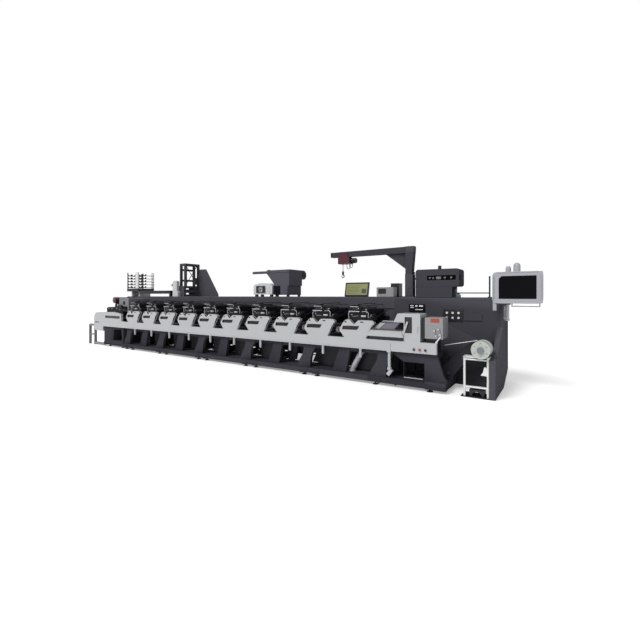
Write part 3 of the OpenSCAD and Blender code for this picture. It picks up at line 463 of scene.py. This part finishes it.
def station_trim(light, steel, dark):
    knobs, seams = Shape(), Shape()
    for x in stations():
        for dx, z in ((310, 1170), (440, 1280), (520, 1100), (590, 1262)):
            knobs.rod((x + dx, 40, z), (x + dx, 18, z), 26, 18, 22)
            knobs.rod((x + dx, 18, z), (x + dx, 12, z), 18, 18)
        for dx, z in ((160, 800), (560, 800), (235, 1040), (640, 1050), (200, 640), (620, 640)):
            seams.bolt((x + dx, APRON_Y, z), (0, -1, 0), 9, 4)
    knobs.done("station_knobs", steel, slot="rolls_steel")
    seams.done("cover_screws", steel, slot="rolls_steel")

    blocks, tubes, rods = Shape(), Shape(), Shape()
    for i, x in enumerate(stations()):
        turn = (i * 37) % 5
        blocks.rod((x + 380, 40, 1120), (x + 380, 12, 1120), 74, 28, 66)
        blocks.box((x + 300 + 6 * turn, 26, 1244), (x + 420 + 6 * turn, 41, 1290), 4)
        blocks.box((x + 284, 60, 1333), (x + 372 + 8 * turn, 190, 1352), 4)
        blocks.box((x + 630, 60, 1082), (x + 700, 240, 1128 + 8 * turn), 5)
        blocks.rod((x + 655, 60, 1140 + 8 * turn), (x + 655, 240, 1140 + 8 * turn), 34, 20)
        tubes.rod((x + 410, 120, 1330), (x + 410, 120, 1362), 14, 12)
        tubes.rod((x + 410, 112, 1360), (x + 410, 760, 1360), 14, 12)
        tubes.rod((x + 574, 160, 1300), (x + 574, 160, 1334), 10, 10)
        tubes.rod((x + 574, 154, 1332), (x + 574, 770, 1332 + 4 * turn), 10, 10)
        tubes.rod((x + 640 - 8 * turn, 200, 1080), (x + 700, 700, 1240), 12, 10)
        rods.rod((x + 505, 22, 1226), (x + 606, 22, 1226 + 2 * turn), 12, 12)
        rods.rod((x + 232, 30, 1060 + 10 * turn), (x + 262, 30, 1130), 12, 12)
        rods.rod((x + 640, 30, 1110), (x + 690, 30, 1160 + 6 * turn), 10, 12)
    hoops = Shape()
    for i, x in enumerate(stations()):
        lift = 6 * ((i * 37) % 5)
        hoops.run([(x + 268, 41, 1096), (x + 246, 20, 1104), (x + 240, 20, 1180 + lift), (x + 280, 20, 1204 + lift),
                   (x + 296, 41, 1204 + lift)], 12)
        hoops.run([(x + 604, 41, 1110), (x + 628, 20, 1118), (x + 632, 20, 1204), (x + 590, 20, 1240 - lift),
                   (x + 576, 41, 1240 - lift)], 12)
        hoops.run([(x + 330, 41, 1140), (x + 330, 14, 1140), (x + 440, 14, 1132 + lift), (x + 440, 41, 1132 + lift)], 10)
    hoops.done("head_hoops", finish("hose_pale", (0.42, 0.46, 0.40), 0.4, grain="smooth"), slot="white_enamel")
    blocks.done("head_blocks", dark, slot="black_enamel")
    tubes.done("head_tubes", dark, slot="black_enamel")
    rods.done("head_rods", steel, slot="rolls_steel")

    handles = Shape()
    for x in stations():
        handles.rod((x + 190, APRON_Y + 12, 940), (x + 400, APRON_Y + 12, 940), 16, 16)
        handles.rod((x + 190, APRON_Y + 12, 940), (x + 190, APRON_Y + 26, 940), 12, 12)
        handles.rod((x + 400, APRON_Y + 12, 940), (x + 400, APRON_Y + 26, 940), 12, 12)
    handles.done("recess_handles", dark, slot="black_enamel")


def right_end_trim(light, steel, black, dark):
    buttons = (("stop_button", 0, (0.03, 0.03, 0.032)), ("run_button", 1, (0.42, 0.05, 0.05)),
               ("jog_button", 2, (0.03, 0.03, 0.032)))
    for name, k, color in buttons:
        x = BASE_X1 - 140 - 354 + 92 * k
        cap = Shape()
        cap.rod((x, APRON_Y - 12, APRON_Z + 60), (x, APRON_Y - 17, APRON_Z + 60), 42, 28, 40)
        cap.rod((x, APRON_Y - 17, APRON_Z + 60), (x, APRON_Y - 25, APRON_Z + 60), 30, 28, 26)
        cap.done(name, finish(name + "_paint", color, 0.3, grain="smooth", coat=0.3), slot="black_enamel")

    sill = Shape()
    sill.box((8028, -4, 172), (8340, 10, 186), 3)
    sill.done("portal_sill", steel, slot="rolls_steel")

    lever = Shape()
    lever.rod((8560, -16, 785), (8624, -16, 868), 20, 16)
    lever.rod((8560, -16, 766), (8560, -16, 790), 34, 18)
    lever.rod((8624, -16, 868), (8624, 4, 872), 16, 16)
    lever.done("box_lever", light, slot="white_enamel")

    panel = Shape()
    px, pz = BASE_X1 - 255, 1064
    panel.box((px, HOUSE_Y - 14, pz), (px + 330, HOUSE_Y + 1, pz + 218), 6)
    panel.done("instrument_panel", black, slot="black_enamel")
    dots = Shape()
    for i in range(3):
        for j in range(2):
            x, z = px + 62 + 97 * i, pz + 62 + 84 * j
            dots.rod((x, HOUSE_Y - 14, z), (x, HOUSE_Y - 19, z), 40, 22, 34)
    dots.done("panel_lamps", light, slot="white_enamel")

    patch = Shape()
    patch.box((BOX_X + 90, -3, 1085), (BOX_X + 225, 0.5, 1148), 1)
    patch.done("box_patch", finish("patch_orange", (0.36, 0.07, 0.035), 0.45, grain="smooth"), slot="white_enamel")
    valves = Shape()
    for k, (dx, z) in enumerate(((150, 960), (215, 985), (240, 900), (175, 880))):
        valves.rod((BOX_X + dx, 0, z), (BOX_X + dx, -30, z), 40, 22, 34)
        valves.rod((BOX_X + dx, -14, z), (BOX_X + dx + 18, -14, z - 46), 16, 12)
    valves.done("box_valves", steel, slot="rolls_steel")

    strips = Shape()
    for x, z, w, h in ((30, 104, 60, 16), (30, 70, 60, 16), (120, 92, 40, 28), (190, 92, 70, 28), (120, 34, 140, 14)):
        x0, z0 = LINE_END + 290 + x, 1214 + z
        strips.box((x0, HOUSE_Y - 19, z0), (x0 + w, HOUSE_Y - 15, z0 + h), 1)
    strips.done("strip_labels", light, slot="white_enamel")

    # painted highlight: a thin white rod stands in for the bright edge of the film web seen at a grazing angle
    line = Shape()
    line.rod((8603, 300, 709), (9100, 300, 815), 12, 12)
    line.done("web_edge_painted_highlight", light, slot="white_enamel")

    caps = Shape()
    for x in (WALL_END - 426, WALL_END - 101):
        caps.rod((x, 30, 582), (x, 30, 604), 44, 24)
        caps.rod((x, 30, 14), (x, 30, 30), 50, 24, 40)
    caps.done("stand_collars", steel, slot="rolls_steel")


def screen_trim():
    face = finish("display_glass", (0.21, 0.215, 0.085), 0.25, grain="smooth", emit=0.25)
    dark_line = finish("display_marks", (0.06, 0.07, 0.05), 0.3, grain="smooth")
    rows, marks = Shape(), Shape()
    x0 = LINE_END - 1093
    tilt = math.radians(12)

    def leaned(x, depth, up):
        y = HOUSE_Y + 8 + 30 + depth * math.cos(tilt) + up * math.sin(tilt)
        z = HOUSE_TOP + 8 - depth * math.sin(tilt) + up * math.cos(tilt)
        return (x0 + x, y, z)

    def panel(shape, xa, xb, ua, ub, depth):
        verts = [shape.bm.verts.new(at(*leaned(x, d, u)))
                 for d in (depth, depth + 1.5) for x, u in ((xa, ua), (xb, ua), (xb, ub), (xa, ub))]
        for quad in ((0, 1, 2, 3), (4, 5, 6, 7), (0, 1, 5, 4), (1, 2, 6, 5), (2, 3, 7, 6), (3, 0, 4, 7)):
            shape.bm.faces.new([verts[i] for i in quad])

    panel(rows, 26, 503, 28, 256, 2.5)
    for k in range(6):
        panel(marks, 46, 300 + 25 * (k % 3), 60 + 30 * k, 66 + 30 * k, 0.8)
    panel(marks, 380, 480, 60, 150, 0.8)
    rows.done("display_screen", face, slot="black_enamel")
    marks.done("display_rows", dark_line, slot="black_enamel")


# Screens, console and boxes


MON_X, MON_Y, MON_Z = WALL_END - 121, 590, 1388
MON_H = 484


def monitor_trim(glass, bezel, dark):
    screen = Shape()
    top = MON_Z + MON_H - 62
    screen.plate([(MON_X + 85, MON_Z + 66), (MON_X + 600, MON_Z + 66), (MON_X + 600, top),
                  (MON_X + 118, top), (MON_X + 85, top - 33)], MON_Y + 5, MON_Y + 9)
    screen.done("monitor_glass", glass, "screen", "grey_plastic")
    rim = Shape()
    for low, high in (((-6, 40), (20, MON_H - 40)), ((660, 40), (686, MON_H - 40)),
                      ((60, -5), (620, 14)), ((60, MON_H - 14), (620, MON_H + 4))):
        rim.box((MON_X + low[0], MON_Y - 6, MON_Z + low[1]), (MON_X + high[0], MON_Y + 20, MON_Z + high[1]), 6)
    rim.done("monitor_rim", bezel, "screen", "grey_plastic")
    grips = Shape()
    for x in (MON_X + 12, MON_X + 666):
        grips.run([(x, MON_Y - 4, MON_Z + 70), (x, MON_Y - 14, MON_Z + 84), (x, MON_Y - 14, MON_Z + MON_H - 84),
                   (x, MON_Y - 4, MON_Z + MON_H - 70)], 10)
    grips.done("monitor_grips", bezel, "screen", "grey_plastic")
    low = Shape()
    low.box((MON_X + 60, MON_Y + 4, MON_Z - 24), (MON_X + 250, MON_Y + 40, MON_Z - 2), 4)
    low.done("monitor_lower_bar", dark, "screen", "black_enamel")


def console_trim(glass, plate, dark, light):
    tilt = math.atan2(1066 - 922, 360)

    def sloped(x, along, up):
        y = -60 + along * math.cos(tilt) - up * math.sin(tilt)
        return (x, y, 922 + along * math.sin(tilt) + up * math.cos(tilt))

    def slab(shape, xa, xb, a, b, up, skew=0.0):
        verts = [shape.bm.verts.new(at(*sloped(x + skew * d / 360, d, u)))
                 for u in (-1.0, up) for x, d in ((xa, a), (xb, a), (xb, b), (xa, b))]
        for quad in ((0, 1, 2, 3), (4, 5, 6, 7), (0, 1, 5, 4), (1, 2, 6, 5), (2, 3, 7, 6), (3, 0, 4, 7)):
            shape.bm.faces.new([verts[i] for i in quad])

    plates = Shape()
    slab(plates, LINE_END - 70, LINE_END + 470, 24, 350, 4, 60)
    plates.done("console_plate", plate, slot="grey_plastic")
    rim = Shape()
    slab(rim, LINE_END - 78, LINE_END + 476, 16, 26, 6)
    slab(rim, LINE_END + 330, LINE_END + 440, 60, 260, 26, 30)
    rim.done("console_rim", dark, slot="black_enamel")
    line = Shape()
    slab(line, LINE_END - 84, LINE_END + 480, 4, 15, 5)
    line.done("console_band", finish("band_beige", (0.33, 0.27, 0.2), 0.5, grain="smooth"), slot="light_enamel")
    view = Shape()
    slab(view, LINE_END + 60, LINE_END + 300, 70, 280, 7, 40)
    view.done("console_screen", glass, slot="black_enamel")
    keys = Shape()
    for i in range(3):
        for j in range(5):
            slab(keys, LINE_END - 40 + 30 * i, LINE_END - 20 + 30 * i, 70 + 42 * j, 96 + 42 * j, 9, 40)
    keys.done("console_keys", light, slot="white_enamel")


def cabinet_trim(steel, black, dark, blue):
    parts = Shape()
    for x in (LINE_END + 640, LINE_END + 700, LINE_END + 905, LINE_END + 1010):
        parts.rod((x, HOUSE_Y + 60, 1820), (x + 34, HOUSE_Y + 60, 1820), 60, 28)
    parts.box((LINE_END + 770, HOUSE_Y + 20, 1795), (LINE_END + 860, HOUSE_Y + 80, 1842), 6)
    parts.done("slot_collars", finish("collar_steel", (0.2, 0.2, 0.21), 0.45, 0.8, "machined"), slot="rolls_steel")
    box = Shape()
    box.box((LINE_END + 1006, HOUSE_Y + 80, 1476), (LINE_END + 1094, HOUSE_Y + 170, 1629), 5)
    box.done("sensor_box", black, slot="black_enamel")
    lid = Shape()
    lid.box((LINE_END + 380, HOUSE_Y - 3, 1660), (LINE_END + 1110, HOUSE_Y + 1, 1668), 1)
    lid.done("cabinet_seam", dark, slot="dark_enamel")
    unit = Shape()
    unit.box((LINE_END + 1094, HOUSE_Y + 90, 1476), (LINE_END + 1165, HOUSE_Y + 160, 1524), 8)
    unit.rod((LINE_END + 1130, HOUSE_Y + 125, 1524), (LINE_END + 1130, HOUSE_Y + 125, 1548), 40, 24)
    unit.done("sensor_head", blue, slot="dark_enamel")
    rail = Shape()
    rail.rod((LINE_END + 1090, HOUSE_Y + 110, 1552), (LINE_END + 1640, HOUSE_Y + 110, 1550), 18, 16)
    rail.rod((LINE_END + 1630, HOUSE_Y + 110, 1476), (LINE_END + 1630, HOUSE_Y + 110, 1831), 26, 18)
    rail.rod((LINE_END + 1630, HOUSE_Y + 110, 1476), (LINE_END + 1630, HOUSE_Y + 110, 1488), 60, 24)
    rail.done("sensor_rail", black, slot="black_enamel")
    lid = Shape()
    for x in (LINE_END + 430, LINE_END + 1120):
        lid.bolt((x, HOUSE_Y, 1900), (0, -1, 0), 14, 6)
        lid.bolt((x, HOUSE_Y, 1710), (0, -1, 0), 14, 6)
    lid.done("cabinet_bolts", dark, slot="dark_enamel")


def hoist_trim(steel, black):
    x, y = HOIST_X, CRANE[1]
    chain = Shape()
    for k in range(13):
        z = ARM_Z - 330 + 15 * k
        across = (6, 0) if k % 2 else (0, 6)
        chain.box((x - 60 - across[0] - 2, y - across[1] - 2, z - 10), (x - 60 + across[0] + 2, y + across[1] + 2, z + 10), 1.5)
    chain.done("hoist_chain", steel, "trolley", "rolls_steel")
    for side, drop in ((-1, 120), (1, 90)):
        loop = bpy.data.curves.new("hoist_loop", "CURVE")
        loop.dimensions = "3D"
        loop.bevel_depth = 0.006
        spline = loop.splines.new("BEZIER")
        points = ((60, 0), (85, -drop), (120, -drop), (150, 0))
        spline.bezier_points.add(len(points) - 1)
        for bp, (dx, dz) in zip(spline.bezier_points, points):
            bp.co = at(x + dx, y + side * 52, ARM_Z - 130 + dz)
            bp.handle_left_type = bp.handle_right_type = "AUTO"
        name = "hoist_loop_left" if side < 0 else "hoist_loop_right"
        obj = bpy.data.objects.new(name, loop)
        bpy.context.scene.collection.objects.link(obj)
        loop.materials.append(black)
        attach(obj, "trolley")
    fins = Shape()
    for k in range(6):
        fins.rod((x + 146 + 18 * k, y, ARM_Z - 84), (x + 151 + 18 * k, y, ARM_Z - 84), 108, 32)
    fins.done("motor_fins", black, "trolley", "black_enamel")


def blower_trim(black, steel):
    x, y, z = LINE_END - 3010 - 589 + 237, HOUSE_Y + 6, 1657
    blades = Shape()
    for k in range(7):
        a = 2 * math.pi * k / 7
        tip = (x + 60 * math.cos(a), y + 12, z + 60 * math.sin(a))
        blades.rod((x, y + 10, z), tip, 10, 8, 26)
    blades.done("fan_blades", steel, slot="black_enamel")
    grille = Shape()
    for r in (28, 44, 60, 70):
        for k in range(20):
            a, b = (2 * math.pi * t / 20 for t in (k, k + 1))
            grille.rod((x + r * math.cos(a), y - 2, z + r * math.sin(a)),
                       (x + r * math.cos(b), y - 2, z + r * math.sin(b)), 4, 6)
    grille.done("fan_grille", steel, slot="rolls_steel")


def rear_trim(steel, dark):
    """Handles and louvres on the rear doors."""
    back = HOUSE_Y + 680 + 12
    handles, vents = Shape(), Shape()
    doors = [-200 + PITCH * (k + 0.5) for k in range(10)]
    for x in doors:
        handles.rod((x + 300, back, 1100), (x + 300, back + 6, 1100), 34, 24)
        handles.box((x + 288, back + 4, 1040), (x + 312, back + 10, 1120), 3)
        for k in range(7):
            vents.box((x - 220, back - 1, 640 + 26 * k), (x + 120, back + 5, 650 + 26 * k), 2)
    for x in (LINE_END + 460, LINE_END + 1380):
        handles.box((x + 370, back + 0, 900), (x + 394, back + 9, 990), 3)
        for k in range(9):
            vents.box((x - 240, back - 1, 460 + 26 * k), (x + 140, back + 5, 470 + 26 * k), 2)
    handles.done("door_handles", steel, slot="rolls_steel")
    vents.done("door_louvres", dark, slot="dark_enamel")


def hood_trim(dark, steel):
    x1 = LINE_END - 2514
    x0 = x1 - 636
    seam = Shape()
    seam.box((x0 + 4, HOUSE_Y + 16, 2030), (x1 - 4, HOUSE_Y + 22, 2038), 1)
    for x in (x0 + 40, x0 + 318, x1 - 40):
        seam.bolt((x, HOUSE_Y + 20, 2052), (0, -1, 0), 14, 6)
    for z in (1560, 1650):
        seam.bolt((x1 - 60, HOUSE_Y + 6, z), (0, -1, 0), 14, 6)
        seam.bolt((x0 + 240, HOUSE_Y + 6, z), (0, -1, 0), 14, 6)
    seam.done("hood_seam", dark, slot="dark_enamel")
    ring = Shape()
    drum_y = HOUSE_Y + 585
    ring.rod((x1, drum_y, 1997), (x1 + 8, drum_y, 1997), 150, 40)
    ring.rod((x1 + 8, drum_y, 1997), (x1 + 16, drum_y, 1997), 60, 30, 50)
    ring.done("hood_cap", dark, slot="dark_enamel")


def left_end_trim(light, steel, red, black):
    roll = Shape()
    roll.rod((-1050, 88, 1375), (-1050, 70, 1375), 70, 30, 60)
    roll.rod((-1050, 70, 1375), (-1050, 50, 1375), 44, 30)
    roll.done("unwind_chuck", steel, slot="rolls_steel")
    guard = Shape()
    guard.box((-712, 40, 612), (-700, 770, 1034), 2)
    guard.done("unwind_guard", black, slot="black_enamel")
    knobs = Shape()
    for x, z in ((-1150, 1130), (-960, 1130), (-700, 1140), (-540, 1110)):
        knobs.rod((x, 10, z), (x, -14, z), 34, 24, 28)
    knobs.done("unwind_knobs", steel, slot="rolls_steel")


# Camera, floor and light


def set_camera():
    cam = bpy.data.cameras.new("camera")
    cam.lens = 20.81
    cam.sensor_width = 36.0
    cam.shift_y = -0.0375
    cam.clip_end = 900.0
    obj = bpy.data.objects.new("camera", cam)
    obj.location = at(10194, -5790, 1500)
    obj.rotation_euler = (math.radians(90), 0, math.radians(33.27))
    bpy.context.scene.collection.objects.link(obj)
    bpy.context.scene.camera = obj


FLOOR_GLOW = 0.3


def studio():
    scene = bpy.context.scene
    scene.view_settings.view_transform = "Standard"
    world = bpy.data.worlds.new("studio")
    scene.world = world
    world.use_nodes = True
    tree = world.node_tree
    tree.nodes.clear()
    out = tree.nodes.new("ShaderNodeOutputWorld")
    mix = tree.nodes.new("ShaderNodeMixShader")
    seen = tree.nodes.new("ShaderNodeBackground")
    lit = tree.nodes.new("ShaderNodeBackground")
    seen.inputs["Strength"].default_value = 1.0
    seen.inputs["Color"].default_value = (1, 1, 1, 1)
    lit.inputs["Color"].default_value = (1, 1, 1, 1)
    lit.inputs["Strength"].default_value = 0.46
    path = tree.nodes.new("ShaderNodeLightPath")
    tree.links.new(path.outputs["Is Camera Ray"], mix.inputs[0])
    tree.links.new(lit.outputs[0], mix.inputs[1])
    tree.links.new(seen.outputs[0], mix.inputs[2])
    tree.links.new(mix.outputs[0], out.inputs[0])

    for name, aim, power, soft in (
        ("key", (0.25, 0.6, -0.75), 1.5, 22.0),
        ("fill", (0.1, 0.75, -0.6), 0.55, 40.0),
    ):
        lamp = bpy.data.lights.new(name, "SUN")
        lamp.angle = math.radians(soft)
        lamp.energy = power
        obj = bpy.data.objects.new(name, lamp)
        obj.rotation_euler = Vector(aim).to_track_quat("-Z", "Y").to_euler()
        scene.collection.objects.link(obj)

    mesh = bpy.data.meshes.new("floor")
    r = 400.0
    mesh.from_pydata([(-r, -r, 0), (r, -r, 0), (r, r, 0), (-r, r, 0)], [], [(0, 1, 2, 3)])
    floor = bpy.data.objects.new("floor", mesh)
    scene.collection.objects.link(floor)
    p = Paint("floor_white")
    p.bsdf.inputs["Base Color"].default_value = (0.9, 0.9, 0.9, 1)
    p.bsdf.inputs["Roughness"].default_value = 1.0
    socket(p.bsdf, "Specular IOR Level", 0.0)
    glow = p.add("ShaderNodeEmission")
    path = p.add("ShaderNodeLightPath")
    seen = p.math("MAXIMUM", path.outputs["Is Camera Ray"], path.outputs["Is Glossy Ray"])
    p.link(p.math("MULTIPLY", seen, FLOOR_GLOW), glow.inputs["Strength"])
    both = p.add("ShaderNodeAddShader")
    p.link(p.bsdf.outputs[0], both.inputs[0])
    p.link(glow.outputs[0], both.inputs[1])
    p.link(both.outputs[0], p.out.inputs[0])
    mesh.materials.append(p.mat)


set_camera()
studio()
dress_nodes()
bright = finish("trim_white", (0.75, 0.75, 0.76), 0.35, grain="smooth")
metal = finish("trim_steel", (0.5, 0.51, 0.52), 0.28, 0.9, "machined")
ink = finish("trim_black", BLACK, 0.38, grain="texture")
shade = finish("trim_dark", FRAME_DARK, 0.5, grain="texture", gloss=MATT)
frame_trim(shade)
lever_trim(bright, metal)
station_trim(bright, metal, ink)
right_end_trim(bright, metal, ink, shade)
screen_trim()
glass = finish("screen_glass", (0.004, 0.004, 0.005), 0.3, grain="smooth", gloss=0.06)
lilac = finish("console_lilac", (0.085, 0.08, 0.1), 0.5, grain="smooth")
amber = finish("console_view", (0.17, 0.165, 0.2), 0.4, grain="smooth")
bezel = finish("bezel_trim", BEZEL, 0.35, grain="smooth")
blue = finish("sensor_blue", (0.10, 0.13, 0.18), 0.35, grain="smooth")
monitor_trim(glass, bezel, shade)
console_trim(amber, lilac, ink, bright)
cabinet_trim(metal, ink, shade, blue)
hoist_trim(metal, ink)
blower_trim(ink, metal)
rear_trim(metal, shade)
hood_trim(shade, metal)
left_end_trim(bright, metal, ink, ink)
